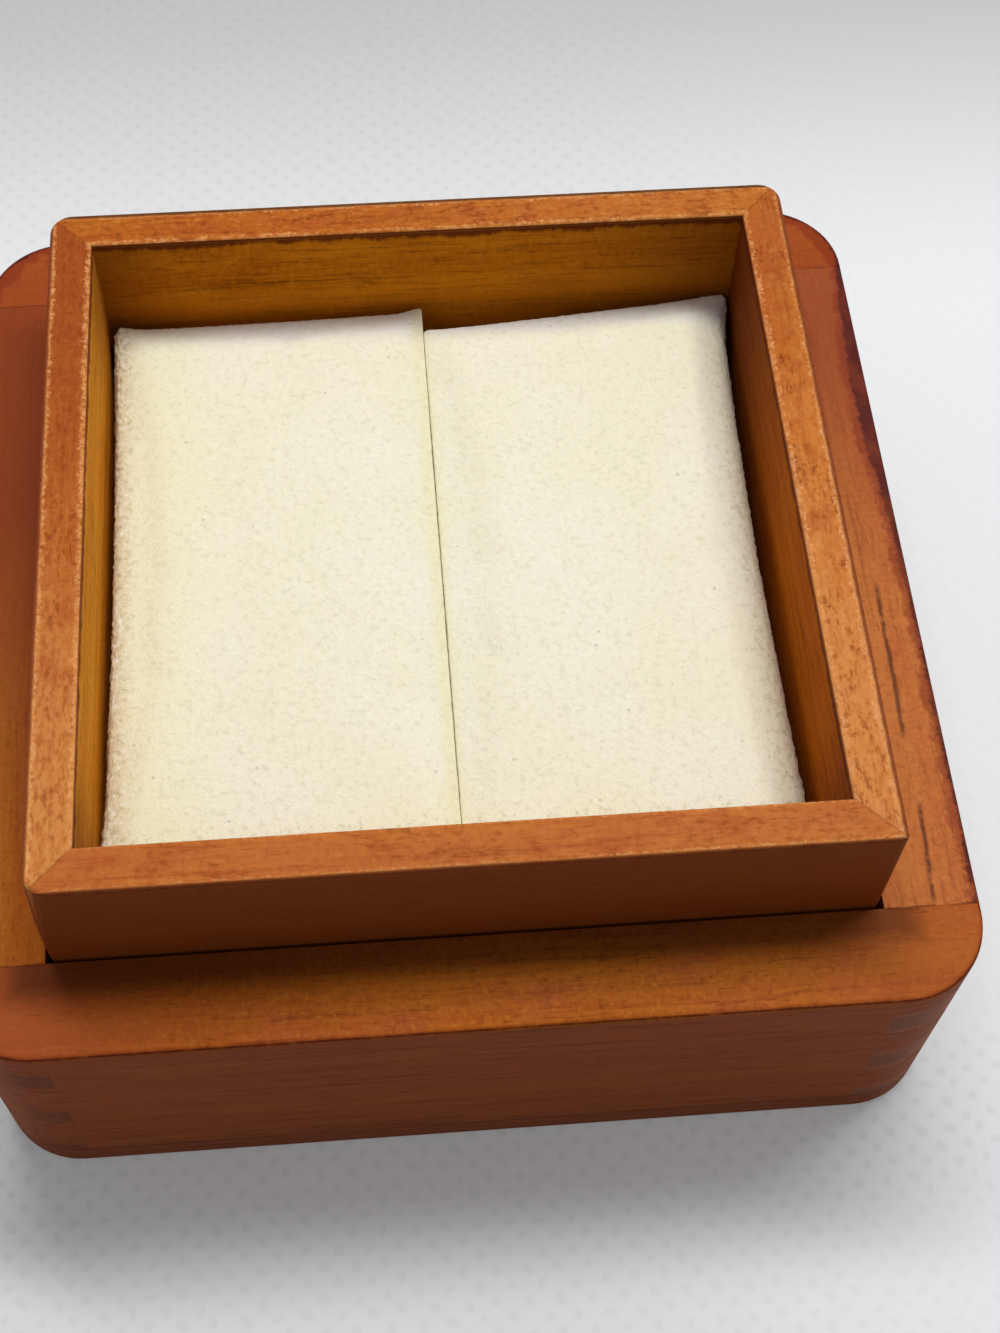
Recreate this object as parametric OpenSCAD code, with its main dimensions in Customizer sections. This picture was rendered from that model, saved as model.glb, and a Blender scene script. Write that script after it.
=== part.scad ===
// Ring display box: a finger-jointed hardwood base, a mitred liner that stands
// proud of the rim to locate a lid, and two covered foam pads that grip the rings.
// The origin is the centre of the underside. Front is -Y and up is +Z.

/* [Base] */
// Outside width and depth of the square base
box_w = 80; // [76:1:90]
// Height of the base, from the table to the rim
base_h = 26; // [24:0.5:30]
// Thickness of the four base boards
board_t = 7.6; // [7.2:0.1:8.5]
// Thickness of the bottom plate, glued under the boards
plate_t = 3; // [2:0.5:4]
// Radius of the upright outside corners
corner_r = 7; // [4:0.5:7]
// Easing of the base's outside arrises
base_ease = 0.45; // [0.2:0.05:1]

/* [Corner joints] */
// Height of one finger
finger_h = 4.5; // [4:0.1:5.5]
// Height of the part finger that is left at the rim, on the front and back boards
rim_finger_h = 2.8; // [1.5:0.1:4]

/* [Liner] */
// Height of the liner above the rim
lip_h = 12.2; // [9:0.1:14]
// Thickness of the liner boards
liner_t = 3.65; // [3:0.05:4.5]
// Gap between the liner and the base boards, on each side
liner_gap = 0.3; // [0.05:0.05:0.4]
// Radius of the liner's outside corners at the top, where three of them are rubbed round
liner_r = 1.9; // [1.2:0.1:2.4]
// Radius of the liner's front right corner, and of every corner at the rim
liner_edge_r = 0.6; // [0.5:0.1:1]
// Easing of the liner's top arrises
liner_ease = 0.35; // [0.2:0.05:0.45]

/* [Ring pads] */
// Height of the pads' crown above the table
pad_top = 28.8; // [24:0.1:31]
// Gap between a pad and the liner
pad_gap = 0.25; // [0.2:0.05:0.4]
// Width of the slit between the pads, where the rings stand
slit_w = 0.24; // [0.2:0.02:0.4]
// Radius of a pad's top edge along the liner
pad_edge_r = 1.4; // [1:0.1:3]
// Radius of a pad's top edge at both ends
end_edge_r = 0.8; // [0.5:0.1:2]
// Radius of a pad's top edge along the slit
slit_edge_r = 0.4; // [0.3:0.1:2]
// Radius of a pad's upright corners
pad_corner_r = 1.3; // [1:0.1:3]
// How far the sides of a pad are drawn in at half height
pad_draw = 0.3; // [0.1:0.05:0.5]
// Rise of a pad's crown above its top edge
pad_crown = 0.5; // [0.2:0.1:1]
// How far the right pad's top has settled away from the liner's right side
right_settle = 0.8; // [0:0.1:1.2]
// How far the right pad's inner back corner has settled away from the liner
corner_settle = 1.9; // [0:0.1:2.4]

/* [Pad layers] */
// Thickness of the velour cover
cover_t = 0.7; // [0.5:0.1:1]
// Width of the cover's hem, turned under the card
hem_w = 5; // [3:0.5:7]
// Thickness of the stiff card under the foam
card_t = 1.2; // [0.8:0.1:2]

/* [Hidden] */
$fn = 96;
over = 1;

// The clear opening between the base boards, and the liner that stands in it on the plate
mouth_w = box_w - 2 * board_t;
liner_w = mouth_w - 2 * liner_gap;
liner_top = base_h + lip_h;
well_w = liner_w - 2 * liner_t;

// Each pad fills half of the well. Its width runs from the liner to the slit.
pad_l = well_w - 2 * pad_gap;
pad_w = (pad_l - slit_w) / 2;
pad_h = pad_top - plate_t;

// Clearance between the layers of a pad
layer_gap = 0.1;

// Levels of the corner joints, counted down from the rim. A last one under a tenth is left out.
levels = 1 + ceil((base_h - plate_t - rim_finger_h) / finger_h - 0.1);

// Steps in one quarter round and in one side of a pad's outline
turn_steps = 3;
side_steps = 5;

// A section w wide, from z0 up to z1, with its four corners eased to radius e
module eased_section(w, z0, z1, e) {
  translate([-w / 2 + e, z0]) square([w - 2 * e, z1 - z0]);
  translate([-w / 2, z0 + e]) square([w, z1 - z0 - 2 * e]);
  for (x = [-w / 2 + e, w / 2 - e], z = [z0 + e, z1 - e])
    translate([x, z]) circle(e);
}

// A square block with round upright corners and eased arrises all round
module eased_block(w, z0, z1, r, e) {
  c = w / 2 - r;
  for (turn = [0, 90])
    rotate([90, 0, turn])
      linear_extrude(2 * c, center = true) eased_section(w, z0, z1, e);
  for (x = [-c, c], y = [-c, c])
    translate([x, y, 0])
      rotate_extrude()
        intersection() {
          eased_section(2 * r, z0, z1, e);
          translate([0, z0]) square([r, z1 - z0]);
        }
}

// The outside of the base, which is shaped after its boards and plate are glued up
module base_block() {
  eased_block(box_w, 0, base_h, corner_r, base_ease);
}

// Clears level i of the corner joints from both ends of the board along the front
module finger_gap(i) {
  top = i == 0 ? base_h + over : base_h - rim_finger_h - (i - 1) * finger_h;
  bottom = i == levels - 1 ? plate_t - over : base_h - rim_finger_h - i * finger_h;
  for (side = [-1, 1])
    translate([side * (box_w / 2 - board_t / 2 + over / 2), -box_w / 2, bottom])
      linear_extrude(top - bottom) square([board_t + over, 3 * board_t], center = true);
}

// The base board along the front. It gives way to its neighbours' fingers at every
// second level, from level first down.
module base_board(first) {
  difference() {
    intersection() {
      base_block();
      translate([-box_w / 2 - over, -box_w / 2 - over, plate_t])
        cube([box_w + 2 * over, board_t + over, base_h]);
    }
    for (i = [first : 2 : levels - 1]) finger_gap(i);
  }
}

// The liner before its boards are parted: a tall block whose corners above the rim are
// rubbed round, the more the higher. The front right corner is left as it was sawn.
module liner_block() {
  c = liner_w / 2 - liner_r;
  intersection() {
    eased_block(liner_w, plate_t, liner_top, liner_edge_r, liner_ease);
    union() {
      linear_extrude(liner_top + over) {
        square([2 * c, liner_w + over], center = true);
        square([liner_w + over, 2 * c], center = true);
        translate([c - over, -liner_w / 2 - over]) square(liner_r + 2 * over);
      }
      for (p = [[c, c], [-c, c], [-c, -c]]) translate(p) rubbed_corner();
    }
  }
}

// One rubbed corner: it narrows from the sawn corner at the rim to liner_r at the top
module rubbed_corner() {
  sawn = sqrt(2) * liner_r;
  brow = liner_top - liner_ease;
  crown = liner_r - liner_ease;
  rotate_extrude() {
    square([sawn, base_h]);
    polygon([[0, base_h], [sawn, base_h], [liner_r, brow], [crown, liner_top], [0, liner_top]]);
    intersection() {
      translate([crown, brow]) circle(liner_ease);
      square([sawn, liner_top]);
    }
  }
}

// The liner board along the front after a turn, mitred at both ends
module liner_board(turn) {
  reach = liner_w / 2 + over;
  intersection() {
    liner_block();
    rotate(turn)
      linear_extrude(liner_top + over) polygon([[0, 0], [-reach, -reach], [reach, -reach]]);
    rotate([90, 0, 90 + turn])
      linear_extrude(2 * reach, center = true)
        difference() {
          translate([-reach, 0]) square([reach - well_w / 2, liner_top + over]);
          inner_arris();
        }
  }
}

// What is rubbed off the liner's inner top arris
module inner_arris() {
  edge = -well_w / 2;
  difference() {
    translate([edge - liner_ease, liner_top - liner_ease]) square(liner_ease + over);
    translate([edge - liner_ease, liner_top - liner_ease]) circle(liner_ease);
  }
}

// Points of one side of a pad's outline, from a to b, drawn in towards the left by d
function side_points(a, b, d) =
  let (along = b - a, inward = [-along.y, along.x] / norm(along))
  [for (k = [1 : side_steps - 1]) a + along * k / side_steps + inward * d * sin(180 * k / side_steps)];

// Points of one quarter round about c, starting at angle from
function turn_points(c, r, from) =
  [for (k = [0 : turn_steps]) c + r * [cos(from + 90 * k / turn_steps), sin(from + 90 * k / turn_steps)]];

// Moves a point of a pad by what its top has settled. The card keeps its foot square. The
// side along the liner has settled most half way, and not at all at its back corner.
function settled(p, z, settle) =
  let (across = 0.5 + p.x / pad_w, back = 0.5 + p.y / pad_l, up = z / pad_h)
  [
    p.x + settle.x * up * (1 - across) * (0.7 + 1.2 * back * (1 - back)) * min(1, 5 - 5 * back),
    p.y - settle.y * up * across * pow(back, 3),
    z
  ];

// One level of a pad at height z. Its outline is taken in by in.x at the liner, by in.y at
// both ends and by in.z at the slit, which is at +X.
function pad_loop(in, z, settle, draw = 0) =
  let (
    r = max(pad_corner_r - min(in), 0.3),
    x0 = -pad_w / 2 + in.x + r,
    x1 = pad_w / 2 - in.z - r,
    y1 = pad_l / 2 - in.y - r,
    se = turn_points([x1, -y1], r, -90),
    ne = turn_points([x1, y1], r, 0),
    nw = turn_points([x0, y1], r, 90),
    sw = turn_points([x0, -y1], r, 180),
    outline = concat(
      se, side_points(se[turn_steps], ne[0], draw),
      ne, side_points(ne[turn_steps], nw[0], draw),
      nw, side_points(nw[turn_steps], sw[0], draw),
      sw, side_points(sw[turn_steps], se[0], draw)
    )
  )
  [for (p = outline) settled(p, z, settle)];

// A pad's form from the crown down to the foot, with a layer of thickness t taken off
function pad_form(t, foot, settle) =
  let (
    brow = pad_h - pad_crown,
    spread = (pad_w / 2 - t - 1) * [1, 1, 1],
    radii = [pad_edge_r, end_edge_r, slit_edge_r],
    wall = t * [1, 1, 1],
    rise = [for (k = [0.94, 0.6, 0.32, 0.14]) pad_loop(
      wall + radii * (1 - k) + k * spread,
      brow + pad_crown * (1 - pow(1 - k, 3)) - t, settle)],
    roll = [for (a = [90 : -22.5 : 0]) pad_loop(
      wall + radii * (1 - cos(a)),
      brow - t - end_edge_r * (1 - sin(a)), settle)],
    fall = [for (k = [0.25, 0.5, 0.75]) pad_loop(
      wall, (brow - end_edge_r) * (1 - k) + foot * k, settle, pad_draw * sin(180 * k))]
  )
  concat(rise, roll, fall, [pad_loop(wall, foot, settle)]);

// A closed skin over a list of loops that all have the same number of points
module skin(loops) {
  n = len(loops[0]);
  last = len(loops) - 1;
  ends = [for (loop = [loops[0], loops[last]]) [for (p = loop) 1 / n] * loop];
  polyhedron(
    points = concat([for (loop = loops) each loop], ends),
    faces = [for (i = [0 : n - 1]) let (next = (i + 1) % n) each concat(
      [[next, i, (last + 1) * n]],
      [for (j = [0 : last - 1]) each [
        [j * n + i, j * n + next, (j + 1) * n + next],
        [j * n + i, (j + 1) * n + next, (j + 1) * n + i]
      ]],
      [[last * n + i, last * n + next, (last + 1) * n + 1]]
    )],
    convexity = 6
  );
}

// The settling of one pad: away from the liner's side, and of its inner back corner
function pad_settle(side) = side == "right" ? [right_settle, corner_settle] : [0, 0];

// Puts a pad piece in the left half of the well, or mirrored in the right half
module in_well(side) {
  mirror([side == "right" ? 1 : 0, 0, 0])
    translate([-(pad_w + slit_w) / 2, 0, plate_t]) children();
}

// The velour cover: over the foam, down the sides and turned under the card as a hem
module pad_cover(side) {
  settle = pad_settle(side);
  outside = pad_form(0, cover_t, settle);
  inside = pad_form(cover_t, cover_t, settle);
  hem = [
    pad_loop(0.3 * cover_t * [1, 1, 1], 0.3 * cover_t, settle),
    pad_loop(cover_t * [1, 1, 1], 0, settle),
    pad_loop(hem_w * [1, 1, 1], 0, settle),
    pad_loop(hem_w * [1, 1, 1], cover_t, settle)
  ];
  inside_up = [for (j = [len(inside) - 1 : -1 : 0]) inside[j]];
  color([0.94, 0.91, 0.80]) in_well(side) skin(concat(outside, hem, inside_up));
}

// The foam block, which fills the cover down to the card
module pad_foam(side) {
  color([0.96, 0.93, 0.72])
    in_well(side)
      skin(pad_form(cover_t + layer_gap, cover_t + card_t + layer_gap, pad_settle(side)));
}

// The stiff card that keeps the foam and the hem flat, with its corners rounded
module pad_card(side) {
  w = pad_w - 2 * (cover_t + layer_gap);
  l = pad_l - 2 * (cover_t + layer_gap);
  color([0.62, 0.58, 0.52])
    in_well(side)
      translate([0, 0, cover_t])
        linear_extrude(card_t) {
          square([w, l - 2 * pad_corner_r], center = true);
          square([w - 2 * pad_corner_r, l], center = true);
          for (x = [-1, 1], y = [-1, 1])
            translate([x * (w / 2 - pad_corner_r), y * (l / 2 - pad_corner_r)])
              circle(pad_corner_r);
        }
}

module base_front() {
  color([0.50, 0.24, 0.12]) base_board(1);
}

module base_back() {
  color([0.50, 0.24, 0.12]) rotate(180) base_board(1);
}

module base_left() {
  color([0.55, 0.28, 0.13]) rotate(-90) base_board(0);
}

module base_right() {
  color([0.55, 0.28, 0.13]) rotate(90) base_board(0);
}

module base_plate() {
  color([0.47, 0.23, 0.12])
    intersection() {
      base_block();
      translate([0, 0, plate_t / 2]) cube([box_w + over, box_w + over, plate_t], center = true);
    }
}

module liner_front() {
  color([0.62, 0.33, 0.15]) liner_board(0);
}

module liner_back() {
  color([0.62, 0.33, 0.15]) liner_board(180);
}

module liner_left() {
  color([0.66, 0.38, 0.17]) liner_board(-90);
}

module liner_right() {
  color([0.66, 0.38, 0.17]) liner_board(90);
}

base_front();
base_back();
base_left();
base_right();
base_plate();
liner_front();
liner_back();
liner_left();
liner_right();
pad_cover("left");  // left_pad_cover
pad_foam("left");  // left_pad_foam
pad_card("left");  // left_pad_card
pad_cover("right");  // right_pad_cover
pad_foam("right");  // right_pad_foam
pad_card("right");  // right_pad_card
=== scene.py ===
"""Ring display box: the looks of its boards and pads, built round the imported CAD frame."""

import logging
import math
from dataclasses import dataclass, field
from enum import Enum

import bmesh
import bpy
import numpy as np
from mathutils import Matrix, Vector, noise


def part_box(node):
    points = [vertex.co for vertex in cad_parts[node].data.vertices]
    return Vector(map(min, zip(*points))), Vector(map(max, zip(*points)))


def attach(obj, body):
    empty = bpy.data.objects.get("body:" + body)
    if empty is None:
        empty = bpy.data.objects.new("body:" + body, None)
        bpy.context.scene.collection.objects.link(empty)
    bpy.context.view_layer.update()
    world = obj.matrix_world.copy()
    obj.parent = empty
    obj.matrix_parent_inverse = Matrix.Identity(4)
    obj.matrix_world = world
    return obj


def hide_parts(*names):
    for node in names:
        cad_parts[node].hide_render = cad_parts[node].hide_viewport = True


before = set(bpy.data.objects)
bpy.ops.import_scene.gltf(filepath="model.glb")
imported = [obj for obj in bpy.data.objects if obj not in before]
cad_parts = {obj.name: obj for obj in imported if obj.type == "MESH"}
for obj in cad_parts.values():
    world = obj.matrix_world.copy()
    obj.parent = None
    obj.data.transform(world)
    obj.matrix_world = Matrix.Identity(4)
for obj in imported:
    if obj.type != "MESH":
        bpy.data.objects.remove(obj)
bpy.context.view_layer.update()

MM = 0.001
Pair = tuple[float, float]
Triple = tuple[float, float, float]
Crack = tuple[float, float, float, float]
Value = "Field | float"
Object = bpy.types.Object
Material = bpy.types.Material
Socket = bpy.types.NodeSocket

log = logging.getLogger("ring_box")


class Axis(Enum):
    """The direction in which a board's grain runs."""

    X = 0
    Y = 1


class Side(Enum):
    """Which half of the well a pad fills, by the sign of its x."""

    LEFT = -1
    RIGHT = 1


def linear(colour: str) -> tuple[float, float, float, float]:
    """Turns a written colour into the linear one that a shader takes.

    Args:
        colour: Six hex digits, red first.

    Returns:
        Linear red, green and blue, and an alpha of 1.
    """
    levels = [int(colour[i : i + 2], 16) / 255 for i in (0, 2, 4)]
    return (*[v / 12.92 if v <= 0.04045 else ((v + 0.055) / 1.055) ** 2.4 for v in levels], 1.0)


class Field:
    """A value that varies over a surface: the output of a shader node, with arithmetic."""

    def __init__(self, paint: "Paint", socket: Socket) -> None:
        """Keeps the node tree's helper and the output socket."""
        self.paint = paint
        self.socket = socket

    def __add__(self, other: Value) -> "Field":
        """Sum."""
        return self.paint.math("ADD", self, other)

    __radd__ = __add__

    def __sub__(self, other: Value) -> "Field":
        """Difference."""
        return self.paint.math("SUBTRACT", self, other)

    def __rsub__(self, other: float) -> "Field":
        """Difference from a number."""
        return self.paint.math("SUBTRACT", other, self)

    def __mul__(self, other: Value) -> "Field":
        """Product."""
        return self.paint.math("MULTIPLY", self, other)

    def __abs__(self) -> "Field":
        """Size without sign."""
        return self.paint.math("ABSOLUTE", self)


class Paint:
    """The node tree of one material, with short calls for what a finish is mixed from."""

    def __init__(self, name: str) -> None:
        """Starts an empty material.

        Args:
            name: The material's name.
        """
        self.material = bpy.data.materials.new(name)
        self.material.use_nodes = True
        self.tree = self.material.node_tree
        self.tree.nodes.clear()
        coordinates = self.node("ShaderNodeTexCoord")
        scale = self.node("ShaderNodeVectorMath", operation="SCALE")
        self.tree.links.new(coordinates.outputs["Object"], scale.inputs[0])
        scale.inputs["Scale"].default_value = 1 / MM
        self.x, self.y, self.z = self.split(scale.outputs[0])
        self.nx, self.ny = self.split(coordinates.outputs["Normal"])[:2]

    def node(self, kind: str, **settings: object) -> bpy.types.Node:
        """Adds a node and sets its properties.

        Args:
            kind: The node's type name.
            settings: Its properties by name.

        Returns:
            The new node.
        """
        made = self.tree.nodes.new(kind)
        for name, value in settings.items():
            setattr(made, name, value)
        return made

    def feed(self, socket: Socket, value: object) -> None:
        """Links a field to an input, or sets the input to a plain value.

        Args:
            socket: The input.
            value: A field, a number or a colour.
        """
        if isinstance(value, Field):
            self.tree.links.new(value.socket, socket)
        else:
            socket.default_value = value

    def split(self, socket: Socket) -> tuple[Field, Field, Field]:
        """Takes a vector apart.

        Args:
            socket: The vector output.

        Returns:
            Its three parts.
        """
        parts = self.node("ShaderNodeSeparateXYZ")
        self.tree.links.new(socket, parts.inputs[0])
        return tuple(Field(self, out) for out in parts.outputs)

    def math(self, operation: str, *terms: Value) -> Field:
        """Does one sum.

        Args:
            operation: Blender's name for it.
            terms: What goes in, in order.

        Returns:
            The result.
        """
        made = self.node("ShaderNodeMath", operation=operation)
        for socket, term in zip(made.inputs, terms):
            self.feed(socket, term)
        return Field(self, made.outputs[0])

    def pick(self, operation: str, terms: tuple[Value, ...]) -> Field:
        """Compares several values, two at a time.

        Args:
            operation: Blender's name for the comparison.
            terms: The values.

        Returns:
            The one that is picked.
        """
        found = terms[0]
        for term in terms[1:]:
            found = self.math(operation, found, term)
        return found

    def least(self, *terms: Value) -> Field:
        """The smallest of several values."""
        return self.pick("MINIMUM", terms)

    def most(self, *terms: Value) -> Field:
        """The largest of several values."""
        return self.pick("MAXIMUM", terms)

    def point(self, x: Value, y: Value, z: Value) -> Field:
        """Puts three values together as a point of a pattern.

        Args:
            x: The point's x.
            y: The point's y.
            z: The point's z.

        Returns:
            The point.
        """
        made = self.node("ShaderNodeCombineXYZ")
        for socket, value in zip(made.inputs, (x, y, z)):
            self.feed(socket, value)
        return Field(self, made.outputs[0])

    def lengthways(self, grain: Axis) -> tuple[Field, Field]:
        """The place along the grain and the place across it, in mm."""
        return (self.x, self.y) if grain is Axis.X else (self.y, self.x)

    def square(self) -> Field:
        """How far out a place is, on squares round the middle, in mm."""
        return self.most(abs(self.x), abs(self.y))

    def noise(self, at: Field, detail: float = 2, rough: float = 0.5) -> Field:
        """Smooth noise, about 0.5 on average.

        Args:
            at: The point of the pattern, one unit to a bump.
            detail: How many finer layers it has.
            rough: How strong these are.

        Returns:
            The noise.
        """
        made = self.node("ShaderNodeTexNoise")
        settings = {"Vector": at, "Scale": 1.0, "Detail": detail, "Roughness": rough}
        for name, value in settings.items():
            self.feed(made.inputs[name], value)
        return Field(self, made.outputs[0])

    def pattern(
        self, scale: float | Triple, detail: float = 2, rough: float = 0.5, seed: float = 0
    ) -> Field:
        """Smooth noise laid over the piece in its own millimetres.

        Args:
            scale: How many bumps to a millimetre, in every direction or along x, y and z.
            detail: How many finer layers it has.
            rough: How strong these are.
            seed: How far up it is read, so that no two boards are alike.

        Returns:
            The noise.
        """
        by_x, by_y, by_z = scale if isinstance(scale, tuple) else (scale,) * 3
        at = self.point(self.x * by_x, self.y * by_y, self.z * by_z + seed)
        return self.noise(at, detail, rough)

    def cells(self, scale: float) -> Field:
        """Finds how far it is to the nearest of a scatter of points.

        Args:
            scale: About how many points there are to a millimetre.

        Returns:
            The distance, 1 where it is as long as a point's own room.
        """
        made = self.node("ShaderNodeTexVoronoi")
        self.feed(made.inputs["Vector"], self.point(self.x * scale, self.y * scale, self.z * scale))
        self.feed(made.inputs["Scale"], 1.0)
        return Field(self, made.outputs["Distance"])

    def ease(self, value: Value, low: Value, high: Value) -> Field:
        """Rises smoothly from 0 at low to 1 at high. It falls instead where high is less.

        Args:
            value: What is compared.
            low: Where it is 0.
            high: Where it is 1.

        Returns:
            The share.
        """
        made = self.node("ShaderNodeMapRange", interpolation_type="SMOOTHSTEP")
        for socket, term in zip(made.inputs, (value, low, high)):
            self.feed(socket, term)
        return Field(self, made.outputs[0])

    def blend(self, under: object, over: object, share: Value) -> Field:
        """Lays one colour over another.

        Args:
            under: A colour field or a written colour.
            over: The same, for what lies over it.
            share: How much of it shows.

        Returns:
            The mixed colour.
        """
        made = self.node("ShaderNodeMix", data_type="RGBA")
        self.feed(made.inputs[0], share)
        for socket, colour in ((made.inputs[6], under), (made.inputs[7], over)):
            self.feed(socket, linear(colour) if isinstance(colour, str) else colour)
        return Field(self, made.outputs[2])

    def coats(self, ground: object, *coats: tuple[object, Value]) -> Field:
        """Lays several colours over a ground, one after the other.

        Args:
            ground: A colour field or a written colour.
            coats: The colour of each coat and how much of it shows.

        Returns:
            The mixed colour.
        """
        for over, share in coats:
            ground = self.blend(ground, over, share)
        return ground

    def finish(
        self, colour: Field, rough: Value, height: Field, depth: float, **sockets: object
    ) -> Material:
        """Ends the material with its shader.

        Args:
            colour: The surface's colour.
            rough: Its roughness.
            height: The relief, 0 to 1.
            depth: The relief's depth in metres.
            sockets: Plain values for further inputs of the shader, with _ for a space.

        Returns:
            The material.
        """
        bump = self.node("ShaderNodeBump")
        bump.inputs["Strength"].default_value = 1
        bump.inputs["Distance"].default_value = depth
        self.feed(bump.inputs["Height"], height)
        shader = self.node("ShaderNodeBsdfPrincipled")
        self.feed(shader.inputs["Base Color"], colour)
        self.feed(shader.inputs["Roughness"], rough)
        self.tree.links.new(bump.outputs[0], shader.inputs["Normal"])
        for name, value in sockets.items():
            shader.inputs[name.replace("_", " ")].default_value = value
        output = self.node("ShaderNodeOutputMaterial")
        self.tree.links.new(shader.outputs[0], output.inputs["Surface"])
        return self.material


@dataclass(frozen=True)
class Timber:
    """The stained wood of one board: its colours, its grain and how strong its figure is."""

    body: str
    streak: str
    glow: str
    blush: str
    grain: Axis
    seed: float
    figure: float = 1.0
    grit: float = 1.0

    def lay(self, paint: Paint) -> tuple[Field, Field]:
        """Mixes the bare figure of the wood.

        Args:
            paint: The board's material.

        Returns:
            Its colour, and its relief from 0 to 1.
        """
        ease = paint.ease
        along, across = paint.lengthways(self.grain)
        bend = paint.point(along * 0.06, across * 0.15, paint.z * 0.15 + self.seed)
        waver = paint.noise(bend) * 1.6
        side = across + waver
        deep = paint.z + waver + self.seed

        def drawn(run: float, width: float, detail: float, rough: float) -> Field:
            """Noise with so many bumps to a millimetre along the grain and across it."""
            at = paint.point(along * run + self.seed, side * width, deep * width)
            return paint.noise(at, detail, rough)

        bands = drawn(0.012, 0.3, 2, 0.5)
        streaks = drawn(0.05, 1.5, 5, 0.65)
        lines = drawn(0.14, 3.6, 3, 0.6)
        pores = drawn(0.55, 6.5, 1, 0.5)
        cloud = drawn(0.09, 0.16, 3, 0.55)
        flecks = drawn(1.9, 0.75, 2, 0.6)
        grit = paint.pattern(2.4, 4, 0.7, self.seed)
        colour = paint.coats(
            self.body,
            (self.glow, ease(bands, 0.35, 0.7) * 0.6),
            (self.blush, ease(cloud, 0.48, 0.72) * 0.6),
            (self.streak, ease(streaks, 0.5, 0.74) * 0.55 * self.figure),
            (self.streak, ease(lines, 0.54, 0.74) * 0.4 * self.figure),
            (self.glow, ease(lines, 0.46, 0.28) * 0.35 * self.figure),
            (self.streak, ease(pores, 0.66, 0.8) * 0.55),
            (self.streak, ease(flecks, 0.56, 0.72) * 0.22),
            (self.glow, ease(flecks, 0.42, 0.28) * 0.35),
            (self.streak, ease(grit, 0.53, 0.68) * 0.3 * self.grit),
            (self.glow, ease(grit, 0.46, 0.32) * 0.5 * self.grit),
        )
        return colour, streaks * 0.4 + lines * 0.35 - ease(pores, 0.62, 0.8) * 0.5


@dataclass(frozen=True)
class RimWear:
    """How the stain lies on a base board: its walls, its end grain and its outer arris.

    Widths are in mm. The stain's width and its fringe run inwards from the arris, and the painted
    shadow is a dark band painted along the liner's foot. Redden goes from one place along the board
    to another, by its last share. Each crack is given by its two ends on the rim.
    """

    wall: str = "884126"
    wall_streak: str = "6A2E18"
    wall_share: float = 0.7
    end: str = "543020"
    end_dark: str = "3A2014"
    end_share: float = 0.5
    stain: str = "420B0C"
    fringe: str = "7E2A12"
    deep: str = "86381C"
    joint: str = "3A160A"
    split: str = "4A1C08"
    blush: float = 0.0
    redden: Triple = (0.0, 1.0, 0.0)
    # How strong the painted shadow along the liner's foot is.
    painted_shadow: float = 0.0
    arris: float = 0.75
    depth: float = 0.85
    gloss: float = 0.06
    width: float = 0.1
    fringe_width: float = 0.08
    ragged: float = 0.3
    widest: float | None = None
    swell: float = 0.0
    cracks: tuple[Crack, ...] = ()


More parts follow.
